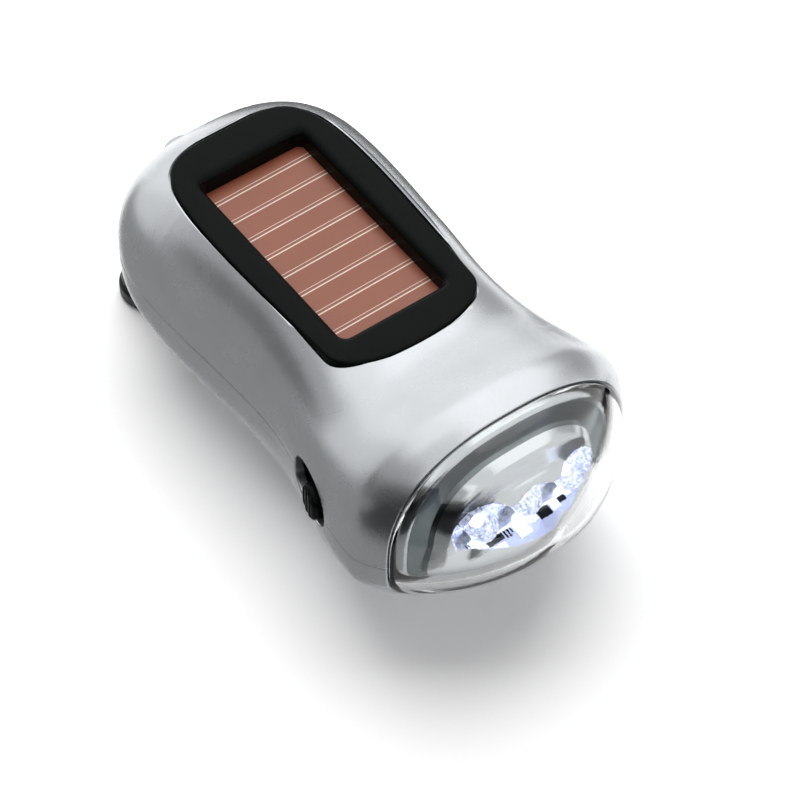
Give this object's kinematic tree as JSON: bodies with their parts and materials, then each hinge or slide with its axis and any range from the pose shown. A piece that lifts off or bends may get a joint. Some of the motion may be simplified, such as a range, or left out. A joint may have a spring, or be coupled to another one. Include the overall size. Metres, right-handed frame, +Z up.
{
  "type": "hand crank flashlight",
  "caption": "Palm-sized torch with a solar cell on top, lamps behind a domed lens, a slide switch, a lanyard eye and a folding crank underneath that turns a geared generator.",
  "frame": {"origin": "middle of the footprint on the surface that it lies on", "axes": "+Z up; -Y towards the lens, +Y towards the lanyard eye; -X is the switch's side"},
  "size_m": [0.0536, 0.1098, 0.0464],
  "materials": {
    "silver_shell": "metallic silver paint, satin",
    "black_trim": "semi-gloss black moulding",
    "crank_black": "semi-gloss black moulding",
    "cell_film": "copper-brown solar film with cream grid lines",
    "clear_lens": "clear moulding, polished",
    "chrome_film": "vacuum-plated chrome",
    "lamp_resin": "clear lamp resin",
    "board_green": "board laminate",
    "gear_ivory": "natural acetal",
    "pin_steel": "plain steel",
    "can_steel": "nickel-plated steel",
    "magnet_grey": "sintered ferrite",
    "winding_copper": "lacquered copper wire on laminations",
    "battery_sleeve": "green shrink sleeve",
    "eye_clear": "frosted clear moulding",
    "bush_bronze": "sintered bronze"
  },
  "bodies": {
    "housing": {"upper_shell": "silver_shell", "lower_shell": "silver_shell", "solar_bezel": "black_trim", "solar_cell": "cell_film", "lens": "clear_lens", "reflector": "chrome_film", "lamp_left": "lamp_resin", "lamp_middle": "lamp_resin", "lamp_right": "lamp_resin", "lamp_board": "board_green", "lanyard_eye": "eye_clear", "switch_body": "can_steel", "switch_board": "board_green", "charge_board": "board_green", "rectifier": "black_trim", "smoothing_capacitor": "can_steel", "battery_cell_1": "battery_sleeve", "battery_cell_2": "battery_sleeve", "battery_cell_3": "battery_sleeve", "battery_tab_left": "pin_steel", "battery_tab_right": "pin_steel", "gear_plate": "gear_ivory", "upper_axle": "pin_steel", "lower_axle": "pin_steel", "crank_bush": "bush_bronze", "generator_can": "can_steel", "generator_cap": "black_trim", "magnet_left": "magnet_grey", "magnet_right": "magnet_grey", "case_screw_tail_left": "pin_steel", "case_screw_tail_right": "pin_steel", "case_screw_head_left": "pin_steel", "case_screw_head_right": "pin_steel", "plate_screw_rear_left": "pin_steel", "plate_screw_rear_right": "pin_steel", "plate_screw_front_left": "pin_steel", "plate_screw_front_right": "pin_steel"},
    "crank": {"crank_hub": "crank_black", "hinge_pin": "pin_steel", "drive_gear": "gear_ivory", "hub_screw": "pin_steel"},
    "arm": {"crank_arm": "crank_black", "knob_rivet": "pin_steel"},
    "knob": {"crank_knob": "crank_black"},
    "lower_gear": {"lower_compound_gear": "gear_ivory"},
    "upper_gear": {"upper_compound_gear": "gear_ivory"},
    "rotor": {"armature": "winding_copper", "rotor_pinion": "gear_ivory"},
    "slider": {"switch_slider": "black_trim", "switch_lever": "black_trim"}
  },
  "joints": [
    {"name": "crank_turn", "type": "hinge", "parent": "housing", "child": "crank", "pos_m": [0, -0.004, 0.003], "axis": [0, 0, 1], "continuous": true},
    {"name": "arm_fold", "type": "hinge", "parent": "crank", "child": "arm", "pos_m": [0, -0.004, 0.0018], "axis": [-0.9711, -0.2385, 0], "range_deg": [0, 180]},
    {"name": "knob_spin", "type": "hinge", "parent": "arm", "child": "knob", "pos_m": [-0.01228, 0.04601, 0.0067], "axis": [0, 0, 1], "continuous": true},
    {"name": "lower_gear_turn", "type": "hinge", "parent": "housing", "child": "lower_gear", "pos_m": [0, -0.01906, 0.0122], "axis": [0, 0, 1], "continuous": true},
    {"name": "upper_gear_turn", "type": "hinge", "parent": "housing", "child": "upper_gear", "pos_m": [0, -0.004, 0.0159], "axis": [0, 0, 1], "continuous": true},
    {"name": "rotor_turn", "type": "hinge", "parent": "housing", "child": "rotor", "pos_m": [0, 0.00906, 0.024], "axis": [0, 0, 1], "continuous": true},
    {"name": "switch_slide", "type": "slide", "parent": "housing", "child": "slider", "axis": [0.2294, 0.9733, 0], "range_m": [0, 0.004]}
  ],
  "couplings": [
    {"joint": "lower_gear_turn", "follows": "crank_turn", "ratio": -4},
    {"joint": "upper_gear_turn", "follows": "crank_turn", "ratio": 16},
    {"joint": "rotor_turn", "follows": "crank_turn", "ratio": -53.333}
  ]
}
